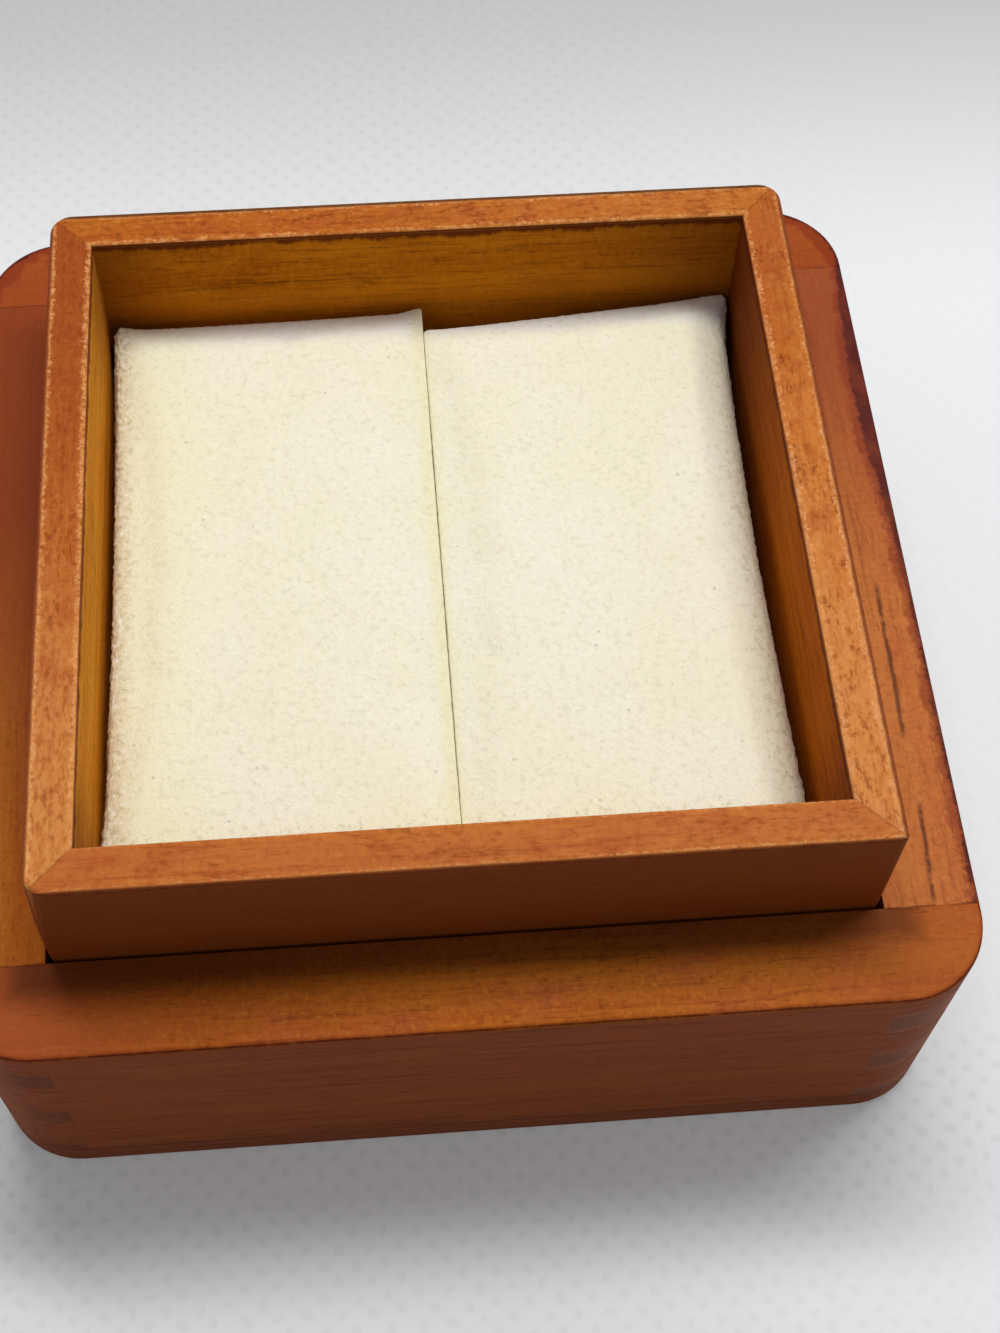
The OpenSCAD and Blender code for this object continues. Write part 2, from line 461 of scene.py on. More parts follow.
@dataclass
class Base:
    """The finger-jointed base: four boards round a well, on a bottom plate. Sizes are in mm."""

    half: float = field(init=False)
    rim: float = field(init=False)
    board: float = 7.6
    corner: float = 7.0
    rim_finger: float = 2.8
    finger: float = 4.5
    plate: float = 3.0
    brow: Pair = (0.5, 0.3)
    seam: Pair = (0.11, 0.03)
    crack: Pair = (0.34, 0.04)
    crack_end: float = 0.8
    relief: float = 0.04

    def __post_init__(self) -> None:
        """Reads the outside and the rim's height from the frame."""
        self.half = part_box("base_plate")[1].x / MM
        self.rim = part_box("base_front")[1].z / MM

    def joints(self, paint: Paint) -> Field:
        """Finds how far it is, up or down, to the nearest joint between two fingers.

        Args:
            paint: The board's material.

        Returns:
            The distance in mm.
        """
        count = int((self.rim - self.plate) / self.finger) + 1
        heights = [self.rim - self.rim_finger - i * self.finger for i in range(count)]
        return paint.least(*[abs(paint.z - height) for height in heights])

    def seams(self, paint: Paint, up: Field, ragged: Field) -> Field:
        """Where the dark lines of the glued joints show.

        Args:
            paint: The board's material.
            up: 1 on the rim and 0 on the walls.
            ragged: The noise that breaks the lines up.

        Returns:
            The lines' share.
        """
        ease = paint.ease
        lip = self.half - self.board
        past = ease(paint.least(abs(paint.x), abs(paint.y)), lip - 0.1, lip + 0.05)
        fingers = ease(self.joints(paint), 0.1, 0.03) * past * 0.6
        line = paint.most(ease(abs(paint.z - self.plate), *self.seam), fingers) * (1 - up)
        butt = ease(abs(abs(paint.y) - lip), 0.12, 0.03)
        butt = butt * ease(abs(paint.x), lip - 0.1, lip) * up
        return paint.most(line, butt * ease(ragged, 0.38, 0.56) * 0.75)

    def stained(
        self, paint: Paint, timber: Timber, wear: RimWear, ragged: Field, dots: Field
    ) -> list[tuple[str, Field]]:
        """The stain that has gathered along the outer arris.

        Args:
            paint: The board's material.
            timber: Its wood.
            wear: How far the stain reaches.
            ragged: The noise that moves its edge.
            dots: The fine noise that roughens it.

        Returns:
            Its coats: the fringe, the stain and the arris itself.
        """
        ease = paint.ease
        run = paint.lengthways(timber.grain)[0]
        drop = self.rim - paint.z
        corner = self.half - self.corner
        reach = [paint.most(abs(c) - corner, 0.0) for c in (paint.x, paint.y)]
        edge = self.corner - paint.math("SQRT", reach[0] * reach[0] + reach[1] * reach[1])
        inset = edge + drop
        width = wear.width + (ragged - 0.5) * wear.ragged
        if wear.widest is not None:
            away = (run - wear.widest) * 0.08
            width = width + paint.math("EXPONENT", away * away * -1.0) * wear.swell
        blotch = paint.pattern((0.3, 0.3, 0), 3, 0.6, timber.seed)
        spread = width * 1.2 + wear.fringe_width + (blotch - 0.5) * 3 * wear.fringe_width
        fringe = ease(inset - spread - (dots - 0.5) * wear.ragged, 0.3, -0.25)
        stain = ease(inset - width - (dots - 0.5) * wear.ragged * 0.7, 0.2, -0.1)
        arris = ease(abs(drop - edge - 0.06), 0.22, 0.04) * ease(inset, 0.6, 0.5)
        return [
            (wear.fringe, fringe * wear.depth * 0.75),
            (wear.stain, stain * wear.depth * (ease(blotch, 0.65, 0.4) * 0.4 + 0.6)),
            (wear.stain, arris * (ease(ragged, 0.32, 0.52) * 0.6 + 0.4) * wear.arris),
        ]

    def opened(self, paint: Paint, ends: Crack, up: Field, ragged: Field) -> Field:
        """Where a drying crack has opened in the rim.

        Args:
            paint: The board's material.
            ends: Its two ends, x before y.
            up: 1 on the rim and 0 on the walls.
            ragged: The noise that bends it and breaks it up.

        Returns:
            Its share.
        """
        x0, y0, x1, y1 = ends
        middle = (paint.y - y0) * ((x1 - x0) / (y1 - y0)) + x0 + (ragged - 0.5) * 0.5
        open_at = paint.ease(abs(paint.x - middle), *self.crack) * up
        for end, inwards in ((y1, self.crack_end), (y0, -self.crack_end)):
            open_at = open_at * paint.ease(paint.y, end - inwards, end + inwards)
        return open_at * paint.ease(ragged, 0.3, 0.48) * 0.8

    def finish(self, node: str, timber: Timber, wear: RimWear) -> Material:
        """Mixes the finish of one board.

        Args:
            node: The board's node.
            timber: Its wood.
            wear: How its outer arris has darkened.

        Returns:
            The material.
        """
        paint = Paint(f"{node}_finish")
        ease = paint.ease
        wood, height = timber.lay(paint)
        run = paint.lengthways(timber.grain)[0]
        facing = paint.nx if timber.grain is Axis.X else paint.ny
        up = ease(self.rim - paint.z, *self.brow)
        ragged = paint.pattern(0.7, 4, 0.6, timber.seed)
        dots = paint.pattern(2.5, 3, 0.6)
        line = self.seams(paint, up, ragged)
        end_grain = ease(abs(facing), 0.8, 1.0) * (1 - up)
        end_grain = end_grain * ease(self.joints(paint), 0.0, 1.3)
        lip = self.half - self.board
        # Painted shadow: a dark band on the rim along the liner's foot.
        shadow_band = ease(paint.square(), lip + 3.6, lip + 1.4) * up
        start, end, depth = wear.redden
        wall = paint.blend(wear.wall, wear.wall_streak, ease(height, 0.3, 0.5))
        colour = paint.coats(
            paint.blend(wood, wall, wear.wall_share),
            (wood, up),
            (wear.deep, ease(run + (height - 0.3) * 16, start, end) * up * depth),
            (timber.blush, ease(abs(run) + (height - 0.3) * 12, 20, 38) * up * wear.blush),
            (paint.blend(wear.end, wear.end_dark, dots), end_grain * wear.end_share),
            *self.stained(paint, timber, wear, ragged, dots),
            (wear.joint, line * 0.7),
            # The painted shadow along the liner's foot, in the joints' dark colour.
            (wear.joint, shadow_band * wear.painted_shadow),
            *[(wear.split, self.opened(paint, ends, up, ragged)) for ends in wear.cracks],
        )
        rough = 0.6 + (ragged - 0.5) * 0.2
        relief = height - line * 1.5
        return paint.finish(colour, rough, relief, self.relief * MM, Specular_IOR_Level=wear.gloss)

    def build(self) -> None:
        """Dresses the five nodes."""
        looks = {
            "base_front": (
                Timber("A65414", "6E2C08", "BC7020", "A8522C", Axis.X, 3.1, grit=1.5),
                RimWear(blush=0.5, painted_shadow=0.55, deep="78320E", redden=(4.0, -34.0, 0.5)),
            ),
            "base_back": (
                Timber("9E4A1A", "6E280A", "AE5C1E", "98401C", Axis.X, 17.4, grit=1.2),
                RimWear(width=0.42, ragged=0.8, blush=0.5, fringe_width=0.9, arris=0.85),
            ),
            "base_left": (
                Timber("B25A16", "742F09", "BE7420", "9E4816", Axis.Y, 29.8, grit=1.2),
                RimWear(width=0.2, ragged=0.4, redden=(-31.0, 14.0, 0.88)),
            ),
            "base_right": (
                Timber("BA652E", "7C3411", "CA7C36", "B2572A", Axis.Y, 41.3, grit=1.3),
                RimWear(
                    width=0.4, ragged=1.0, widest=17.0, swell=1.0, fringe_width=0.45, arris=0.85,
                    deep="8C3C1A", redden=(-8.0, 27.0, 0.78), gloss=0.12,
                    cracks=((37.0, -3.0, 36.7, -17.5), (36.8, -23.8, 36.4, -32.0)),
                ),
            ),
            "base_plate": (Timber("8A4E1C", "5A2A0A", "94581E", "7A3E16", Axis.X, 57.7), RimWear()),
        }
        for node, (timber, wear) in looks.items():
            dress(node, self.finish(node, timber, wear))
            log.info("base piece %s", node)


@dataclass(frozen=True)
class LinerWear:
    """How a liner board is rubbed and stained.

    The rubbed widths are in mm from the round arris inwards, at the two ends of the board, and
    line_out is how far the dark line of the outer arris reaches over the top. Worn and aged wood on
    the top and shade on the inside go from one place along the board to another, by a last share.
    """

    inside: Timber
    patch: str = "A6441C"
    speck: str = "6A260E"
    rubbed: str = "D8924C"
    bare: str = "E6AC7A"
    deep: str = "8A3A14"
    # The foot's colour is painted light, laid low on the inside wall by its share.
    foot: str = "EC981C"
    bleed: str = "501C0A"
    # The colour of the stain that runs down inside; it is laid as painted shade as well.
    wall: str = "70300E"
    joint: str = "3E180A"
    arris: str = "5A200A"
    spotted: float = 0.5
    rub_out: Pair = (0.0, 0.0)
    rub_in: Pair = (0.0, 0.0)
    rub_ragged: float = 1.0
    rub_soft: float = 0.12
    rub_share: float = 0.62
    bare_share: float = 0.42
    fray: float = 0.9
    broken: float = 0.0
    line_out: float = -1.0
    worn: Triple = (0.0, 1.0, 0.0)
    aged: Triple = (0.0, 1.0, 0.0)
    shade: Triple = (10.0, 30.0, 0.1)
    corner_shade: float = 0.42
    foot_glow_share: float = 0.0
    mitre: float = 0.16


@dataclass
class Liner:
    """The mitred liner, which stands above the rim to locate a lid. Sizes are in mm."""

    half: float = field(init=False)
    top: float = field(init=False)
    well: float = 28.45
    ease: float = 0.35
    brow: Pair = (0.42, 0.25)
    seam: Pair = (0.16, 0.02)
    relief: float = 0.04

    def __post_init__(self) -> None:
        """Reads the outside and the top's height from the frame."""
        self.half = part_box("liner_front")[1].x / MM
        self.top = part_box("liner_front")[1].z / MM

    def rubbed(
        self, paint: Paint, wear: LinerWear, along: Field, shift: Field
    ) -> tuple[Field, Field]:
        """Where the top's two arrises are rubbed through their stain.

        Args:
            paint: The board's material.
            wear: How wide they are rubbed.
            along: 0 at the board's one end and 1 at the other.
            shift: How far the rubbed edge strays.

        Returns:
            The rubbed share, and the share of the stain left on the round of the arris.
        """
        square = paint.square()
        light, dark = 0.0, 0.0
        edges = ((self.half - square, wear.rub_out), (square - self.well, wear.rub_in))
        for edge, (low, high) in edges:
            tilt = self.top - paint.z - edge
            width = self.ease + low + along * (high - low)
            found = paint.ease(edge - width - shift, wear.rub_soft, -wear.rub_soft)
            light = paint.most(light, found * paint.ease(tilt, 0.16, 0.02))
            dark = paint.most(dark, paint.ease(tilt, 0.0, 0.14))
        return light, dark

    def golden(
        self, paint: Paint, timber: Timber, wear: LinerWear, inside: Field
    ) -> list[tuple[object, Field]]:
        """The unstained inside of the well, with the stain that has run into it, painted light low
        on the wall and painted shade towards its ends and corners.

        Args:
            paint: The board's material.
            timber: Its wood.
            wear: The inside's wood and its stains.
            inside: 1 on the inside and 0 elsewhere.

        Returns:
            Its coats.
        """
        ease = paint.ease
        run = paint.lengthways(timber.grain)[0]
        drop = self.top - paint.z
        start, end, depth = wear.shade
        corners = ease(abs(run), 19, self.well - 0.05) * wear.corner_shade
        drip = paint.pattern((0.45, 0.45, 0), 5, 0.75, timber.seed + 9)
        bleed = ease(drop - 0.55 - (drip - 0.42) * 2.4, 0.4, -0.2) * inside
        return [
            (wear.inside.lay(paint)[0], inside),
            # Painted light: a lighter colour low on the inside wall.
            (wear.foot, ease(drop, 4.5, 9) * inside * wear.foot_glow_share),
            # Painted shade in the bleed's colour, towards one end of the wall and into its corners.
            (wear.bleed, inside * paint.most(ease(run, start, end) * depth, corners)),
            (wear.bleed, bleed * 0.85),
        ]

    def finish(self, node: str, timber: Timber, wear: LinerWear) -> Material:
        """Mixes the finish of one liner board.

        Args:
            node: The board's node.
            timber: Its wood.
            wear: How rubbed and spotted it is.

        Returns:
            The material.
        """
        paint = Paint(f"{node}_finish")
        ease = paint.ease
        wood, height = timber.lay(paint)
        run, side = paint.lengthways(timber.grain)
        square = paint.square()
        up = ease(self.top - paint.z, *self.brow)

        patch = paint.pattern((0.4, 0.4, 0), 4, 0.6, timber.seed)
        mottle = paint.noise(paint.point(run * 1.1, side * 2.2, timber.seed), 5, 0.66)
        cluster = paint.pattern((0.16, 0.16, 0), 2, 0.6, timber.seed + 3)
        near = ease(cluster + (patch - 0.5) * 0.6, 0.38, 0.54)
        speck = ease(mottle, 0.54, 0.63) * near
        ragged = paint.pattern(0.5, 5, 0.75, timber.seed)
        grains = paint.pattern(3, 3, 0.7)

        shift = (ragged - 0.5) * wear.rub_ragged + (grains - 0.5) * wear.fray
        light, dark = self.rubbed(paint, wear, ease(run, -self.half, self.half), shift)
        light = light * (ease(grains, 0.34, 0.56) * 0.75 + 0.25)
        light = light * (ease(patch, 0.36, 0.54) * wear.broken + (1 - wear.broken))
        aged = ease(run + (patch - 0.5) * 16, *wear.aged[:2]) * wear.aged[2]
        worn = ease(run + (patch - 0.5) * 30, *wear.worn[:2]) * wear.worn[2]
        outline = ease(self.half - square - wear.line_out - shift * 0.3, 0.1, -0.1)
        inside = ease(square, self.well + 0.32, self.well + 0.05) * (1 - up)
        outside = ease(square, self.half - 0.35, self.half - 0.05) * (1 - up)
        mitre = ease(abs(abs(paint.x) - abs(paint.y)), *self.seam) * up
        mitre = mitre * ease(paint.y - paint.x, 56, 44)
        colour = paint.coats(
            wood,
            (wear.patch, ease(patch, 0.48, 0.68) * up * 0.45),
            (wear.rubbed, ease(mottle, 0.46, 0.3) * up * wear.spotted * 0.6),
            (wear.speck, speck * up * wear.spotted),
            (wear.deep, aged * up),
            (wear.rubbed, worn * (ease(mottle, 0.62, 0.42) * 0.6 + 0.4) * up),
            (wear.rubbed, light * wear.rub_share),
            (wear.bare, light * ease(grains, 0.48, 0.64) * wear.bare_share),
            (wear.arris, paint.most(dark, outline) * up * 0.8),
            *self.golden(paint, timber, wear, inside),
            (wear.wall, outside * 0.8),
            (wear.joint, mitre * wear.mitre * ease(ragged, 0.38, 0.5)),
        )
        rough = 0.6 + (ragged - 0.5) * 0.25 + inside * 0.28
        relief = height - speck * 0.4 - mitre * 1.2
        return paint.finish(colour, rough, relief, self.relief * MM, Specular_IOR_Level=0.06)

    def build(self) -> None:
        """Dresses the four nodes."""
        inside_x = Timber("BE6E0A", "5C2C04", "D28616", "A65606", Axis.X, 71.2, figure=1.5)
        inside_left = Timber("D8891F", "8A4A10", "E29E32", "C47218", Axis.Y, 83.9, figure=1.1)
        inside_right = Timber("B05808", "602A04", "C06C10", "A44C0C", Axis.Y, 95.3, figure=1.6)
        looks = {
            "liner_front": (
                Timber("BC6830", "883812", "C4722C", "B05828", Axis.X, 5.3),
                LinerWear(
                    inside=inside_x,
                    spotted=0.3, rub_out=(-0.28, -0.2), rub_in=(-0.3, -0.2),
                    rub_ragged=0.5, rub_soft=0.2, worn=(-20.0, 34.0, 0.14), line_out=0.06,
                ),
            ),
            "liner_back": (
                Timber("B25C1A", "84360C", "C47620", "AA521C", Axis.X, 23.6, figure=1.3, grit=1.3),
                LinerWear(
                    inside=inside_x, arris="34160A", foot_glow_share=0.28,
                    spotted=0.5, rub_out=(0.12, 0.12), rub_in=(0.02, 0.02),
                    worn=(-20.0, 30.0, 0.25), rub_ragged=0.9, fray=0.9, broken=0.7, line_out=0.34,
                    shade=(6.0, 28.0, 0.45),
                ),
            ),
            "liner_left": (
                Timber("B05A1E", "84360C", "BE6E24", "A84C1E", Axis.Y, 37.1, grit=1.3),
                LinerWear(
                    inside=inside_left, rubbed="E09A56", arris="7E3010",
                    spotted=0.45, rub_out=(0.08, 0.0), rub_in=(0.0, 0.08), worn=(6.0, -28.0, 0.58),
                    rub_ragged=0.9, fray=0.8, rub_soft=0.2, line_out=0.14, aged=(-8.0, 26.0, 0.5),
                    shade=(16.0, 27.0, 0.4),
                ),
            ),
            "liner_right": (
                Timber("BE6722", "883A11", "CE7E34", "BA5C2A", Axis.Y, 49.4, grit=1.3),
                LinerWear(
                    inside=inside_right, rubbed="DC9658", speck="7E3812", arris="6E280C",
                    spotted=0.75, rub_out=(0.2, 0.0), rub_in=(0.1, 0.05), worn=(18.0, -24.0, 0.5),
                    rub_ragged=1.4, fray=0.9, broken=0.5, line_out=0.2, aged=(-2.0, 27.0, 0.35),
                    shade=(-6.0, 27.0, 0.75),
                ),
            ),
        }
        for node, (timber, wear) in looks.items():
            dress(node, self.finish(node, timber, wear))
            log.info("liner piece %s", node)


def put(name: str, data: bpy.types.ID, where: Matrix = Matrix()) -> Object:
    """Puts a mesh, a lamp or a camera in the scene.

    Args:
        name: The new object's name.
        data: What it holds.
        where: Its place and turn.

    Returns:
        The object.
    """
    made = bpy.data.objects.new(name, data)
    made.matrix_world = where
    bpy.context.scene.collection.objects.link(made)
    return made


def dress(node: str, material: Material) -> None:
    """Gives a CAD node its finish.

    Args:
        node: The node's name.
        material: The finish.
    """
    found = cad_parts[node]
    found.data.materials.clear()
    found.data.materials.append(material)


@dataclass(frozen=True)
class Velour:
    """The pads' cream velour: a short nap, flecked at the front, with painted shade on the right
    pad's roll and painted light at the back and along the slit.

    Each reach is where a place on the pads begins and where it is full, in mm along x, y or z.
    """

    ground: str = "F5F0D5"
    pale: str = "F7F3DE"
    front: Pair = (-22.5, -27.5)
    brow: Pair = (20.0, 25.0)
    back: Pair = (23.5, 26.5)
    left: Pair = (-16.0, -25.0)
    tufts: Pair = (-25.0, -27.2)
    roll: Pair = (24.0, 27.1)
    slit: float = -0.25
    nap_depth: float = 0.16
    depth: float = 0.6
    sheen: str = "FFF8E4"

    def mix(self) -> Material:
        """Mixes the velour.

        Returns:
            The material.
        """
        paint = Paint("cream_velour")
        ease = paint.ease
        x, y, z = paint.x, paint.y, paint.z
        drift = paint.pattern(0.08, 3, 0.5)
        tuft = paint.pattern(1.7, 4, 0.65)
        nap = paint.pattern(3.6, 3, 0.65)
        pile = paint.pattern(9, 2, 0.6)
        brushed = paint.pattern((5.2, 1.5, 5.2), 4, 0.7)
        brow = ease(z, *self.brow)
        front = ease(y, *self.front) * brow
        roll = ease(x, *self.roll) * (ease(y, 26, 6) * 0.9 + 0.1)
        tufted = ease(x, *self.tufts) * ease(z, 16, 25)
        fallen = paint.cells(0.34) + (nap - 0.5) * 0.06
        colour = paint.coats(
            self.ground,
            (self.pale, ease(drift, 0.35, 0.65)),
            # Painted light: the pads' back whitened where the liner's back board casts its shadow.
            ("FFFFF8", ease(y, *self.back)),
            # Painted light: a lighter yellow tint along the slit, lifting the dark gap between the
            # pads.
            ("F1EABC", ease(abs(x - self.slit), 1.3, 0.2) * 0.6),
            ("DFD5AC", ease(nap, 0.56, 0.78) * 0.6),
            ("FBF8EA", ease(tuft, 0.42, 0.28) * 0.6),
            ("E2DEB8", front * 0.35),
            ("F2F3CE", ease(x, *self.left) * 0.6),
            ("DAC69C", ease(y, -25.6, -28.2) * brow * 0.5),
            ("B0AC7A", ease(tuft, 0.52, 0.64) * (front + roll * 0.35 + 0.16)),
            # Painted shade between the tufts along the liner's side: a darker band and dark specks.
            ("DCC598", tufted * 0.4),
            ("A89464", ease(tuft, 0.53, 0.64) * tufted * 0.36),
            ("FFFDF6", ease(tuft, 0.45, 0.36) * tufted * 0.85),
            # Painted shade on the right pad's roll down to the liner, streaked with the brushed
            # nap.
            ("C4A878", roll * 0.2),
            ("A28E66", ease(brushed, 0.48, 0.6) * roll * 0.28),
            ("6E6444", ease(brushed, 0.56, 0.7) * ease(x, 26.0, 27.4) * 0.18),
            ("A29A84", ease(fallen, 0.065, 0.03) * 0.4),
        )
        relief = nap * 0.5 + pile * 0.35 + tuft * (front * 1.3 + tufted * 0.8 + 0.2)
        return paint.finish(
            colour, 0.95, relief, self.nap_depth * MM,
            Sheen_Weight=0.35, Sheen_Roughness=0.5, Sheen_Tint=linear(self.sheen),
            Specular_IOR_Level=0.15, Subsurface_Weight=0.25, Subsurface_Scale=self.depth * MM,
            Subsurface_Radius=(1.0, 0.8, 0.6),
        )


@dataclass(frozen=True)
class FoamCells:
    """The pads' foam: pale yellow with open cells, with painted shade in the cells' hollows."""

    skin: str = "EFE2A8"
    pale: str = "F6EDC2"
    cell_shade: str = "BFA868"
    cell_depth: float = 0.2

    def mix(self) -> Material:
        """Mixes the foam.

        Returns:
            The material.
        """
        paint = Paint("pad_foam_cells")
        cells = paint.cells(2.2)
        colour = paint.coats(
            self.skin,
            (self.pale, paint.pattern(0.3, 2)),
            # Painted shade in the hollows of the cells.
            (self.cell_shade, paint.ease(cells, 0.35, 0.05) * 0.7),
        )
        relief = paint.ease(cells, 0.05, 0.4)
        return paint.finish(colour, 0.9, relief, self.cell_depth * MM, Specular_IOR_Level=0.2)


@dataclass(frozen=True)
class CardPulp:
    """The greyboard under the foam: matt, with pulp flecks."""

    grey: str = "948A78"
    pale: str = "AEA48F"
    fleck: str = "6A6050"
    pulp_depth: float = 0.06

    def mix(self) -> Material:
        """Mixes the card.

        Returns:
            The material.
        """
        paint = Paint("pad_card_pulp")
        pulp = paint.pattern((1.6, 0.9, 2), 5, 0.7)
        fleck = paint.pattern((6, 2.4, 6), 2, 0.6)
        colour = paint.coats(
            self.grey,
            (self.pale, paint.ease(pulp, 0.3, 0.7)),
            (self.fleck, paint.ease(fleck, 0.66, 0.78) * 0.7),
        )
        relief = pulp * 0.6 + fleck * 0.4
        return paint.finish(colour, 0.9, relief, self.pulp_depth * MM, Specular_IOR_Level=0.2)


@dataclass(frozen=True)
class Pull:
    """A pulled corner of a cover: its place, how far round it is felt, and the move, in mm."""

    at: Triple
    reach: float
    move: Triple


@dataclass
class RingPad:
    """One ring pad: foam on a card, with a velour cover turned under it.

    Its own frame has its origin in the middle of its foot. The slit is at its +x side and
    the liner's board at its -x side. The right pad is the same form, mirrored. The hem's turn gives
    each of its rings by how far it is taken in and its height, and the inset says, in mm, how far
    the top stands off the liner at each of its places, which go from the front, 0, to the back, 1.
    """

    side: Side
    step: float = 0.97 * MM
    wall_r: float = 0.8 * MM
    end_r: float = 0.4 * MM
    slit_r: float = 0.25 * MM
    corner_r: float = 0.6 * MM
    least_r: float = 0.3 * MM
    corner_run: float = 2.5 * MM
    roll_turns: tuple[int, ...] = (90, 60, 30, 0)
    crown: float = 0.5 * MM
    slack: float = 0.5
    flatness: tuple[int, int] = (3, 6)
    draw: float = 0.3 * MM
    slit_draw: float = 0.3
    cover_t: float = 0.7 * MM
    hem_w: float = 5.0 * MM
    hem_from: float = 0.6 * MM
    hem_turn: tuple[Pair, ...] = ((0.15, 0.22), (0.7, 0.0), (2.8, 0.0), (4.9, 0.0))
    layer_gap: float = 0.1 * MM
    card_t: float = 1.2 * MM
    cover_rows: int = 10
    lining_rows: int = 3
    foam_rows: int = 8
    splits: int = 2
    weld: float = 0.001 * MM
    fill_scale: float = 10.0
    fill_frames: int = 20
    fill_pressure: float = 4.0
    swell_cap: float = 0.45 * MM
    press: float = 0.5 * MM
    wall_press: float = 1.0
    edge_rise: float = 0.28 * MM
    nap_seed: float = 40.0
    nap_scales: Triple = (3.3, 4.9, 0.16)
    finer_share: float = 0.7
    nap_rise: float = 0.05
    soft_rise: float = 0.03
    fuzz: float = 0.015
    fuzz_from: float = 12.0
    pit_scale: float = 1.3
    pit_depth: float = 0.15
    set_back: float = 0.8 * MM
    lift: float = 0.0
    inset: tuple[float, ...] = (0.0,) * 6
    inset_at: tuple[float, ...] = (0, 0.15, 0.5, 0.8, 0.93, 1)
    settle: float = 0.0
    spare: float = 0.1 * MM
    pulls: tuple[Pull, ...] = ()

    def __post_init__(self) -> None:
        """Reads the pad's place from the frame."""
        self.name = f"{self.side.name.lower()}_pad"
        low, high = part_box(f"{self.name}_cover")
        card_low, card_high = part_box(f"{self.name}_card")
        gap = self.cover_t + self.layer_gap
        self.foot = low.z
        self.height = high.z - low.z
        self.width = card_high.x - card_low.x + 2 * gap
        self.length = card_high.y - card_low.y + 2 * gap
        self.middle = (card_low.x + card_high.x) / 2
        self.across = round(self.width / self.step)
        self.down = round(self.length / self.step)

    def ring(self, take: Triple, z: float, draw: float = 0, fall: float = 0) -> np.ndarray:
        """One level of the pad: points round a rectangle with round corners.

        Args:
            take: How far it is taken in at the liner's side, at the ends and at the slit.
            z: Its height.
            draw: How far the middles of its sides are drawn in.
            fall: How much of each side's own edge radius it lies below z.

        Returns:
            The points, anticlockwise from the corner at the front of the liner's side.
        """
        wall, end, slit = take
        r = max(self.corner_r - min(take), self.least_r)
        x0, x1 = -self.width / 2 + wall, self.width / 2 - slit
        y1 = self.length / 2 - end
        corners = [Vector((x0, -y1)), Vector((x1, -y1)), Vector((x1, y1)), Vector((x0, y1))]
        radii = (self.end_r, self.slit_r, self.end_r, self.wall_r)
        draws = (draw, self.slit_draw * draw, draw, draw)
        points = []
        for i, count in enumerate((self.across, self.down) * 2):
            a, b = corners[i], corners[(i + 1) % 4]
            before, own, after = radii[i - 1], radii[i], radii[(i + 1) % 4]
            u = (b - a).normalized()
            v = Vector((-u.y, u.x))
            arc, straight = math.pi * r / 4, (b - a).length - 2 * r
            for k in range(count):
                s = k / count * (2 * arc + straight)
                if s < arc:
                    turn = math.pi / 4 - s / r
                    p = a + u * (r - r * math.sin(turn)) + v * (r - r * math.cos(turn))
                elif s <= arc + straight:
                    p = a + u * (r + s - arc)
                else:
                    turn = (s - arc - straight) / r
                    p = b - u * (r - r * math.sin(turn)) + v * (r - r * math.cos(turn))
                p = p + v * draws[i] * math.sin(math.pi * k / count)
                near = max(0.0, 1 - min(k, count - k) * self.step / self.corner_run)
                other = before if k < count / 2 else after
                radius = own + (other - own) * near * near / 2
                points.append((p.x, p.y, z - fall * radius))
        return np.array(points)

    def lid(self, rim: np.ndarray, crown: float) -> np.ndarray:
        """The grid of points that a ring closes over.

        Args:
            rim: The ring round it.
            crown: How far its middle stands above the ring.

        Returns:
            The points in rows from the front, with the ring's own points round the outside.
        """
        nx, ny = self.across, self.down
        low, high = rim.min(0), rim.max(0)
        u, v = np.meshgrid(np.linspace(-1, 1, nx + 1), np.linspace(-1, 1, ny + 1))
        grid = np.empty((ny + 1, nx + 1, 3))
        grid[..., 0] = low[0] + (u + 1) / 2 * (high[0] - low[0])
        grid[..., 1] = low[1] + (v + 1) / 2 * (high[1] - low[1])
        flat_x, flat_y = self.flatness
        grid[..., 2] = low[2] + crown * (1 - np.abs(u) ** flat_x) * (1 - np.abs(v) ** flat_y)
        grid[0, :nx] = rim[:nx]
        grid[:ny, nx] = rim[nx : nx + ny]
        grid[ny, :0:-1] = rim[nx + ny : 2 * nx + ny]
        grid[:0:-1, 0] = rim[2 * nx + ny :]
        return grid

    def lid_rim(self) -> list[int]:
        """Finds the points of a ring in the grid of the lid over it.

        Returns:
            Their places in the grid, in the ring's order.
        """
        nx, ny = self.across, self.down
        at = np.arange((nx + 1) * (ny + 1)).reshape(ny + 1, nx + 1)
        return [*at[0, :nx], *at[:ny, nx], *at[ny, :0:-1], *at[:0:-1, 0]]

    def grid_faces(self) -> list[tuple[int, int, int, int]]:
        """Lists the faces of a lid's grid.

        Returns:
            The four points of each, so that all face up.
        """
        row = self.across + 1
        return [
            (j * row + i, j * row + i + 1, (j + 1) * row + i + 1, (j + 1) * row + i)
            for j in range(self.down)
            for i in range(self.across)
        ]

    def net(self, rings: list[np.ndarray], crown: float) -> tuple[np.ndarray, list[tuple]]:
        """A lid over a stack of rings, open at the bottom.

        Args:
            rings: The rings from the top down. The first is the lid's rim.
            crown: How far the lid's middle stands above its rim.

        Returns:
            The points and the faces, all facing out.
        """
        grid = self.lid(rings[0], crown).reshape(-1, 3)
        faces = self.grid_faces()
        above, count = self.lid_rim(), len(rings[0])
        for level in range(1, len(rings)):
            start = len(grid) + (level - 1) * count
            below = list(range(start, start + count))
            faces += [
                (above[k], below[k], below[(k + 1) % count], above[(k + 1) % count])
                for k in range(count)
            ]
            above = below
        return np.vstack([grid, *rings[1:]]), faces

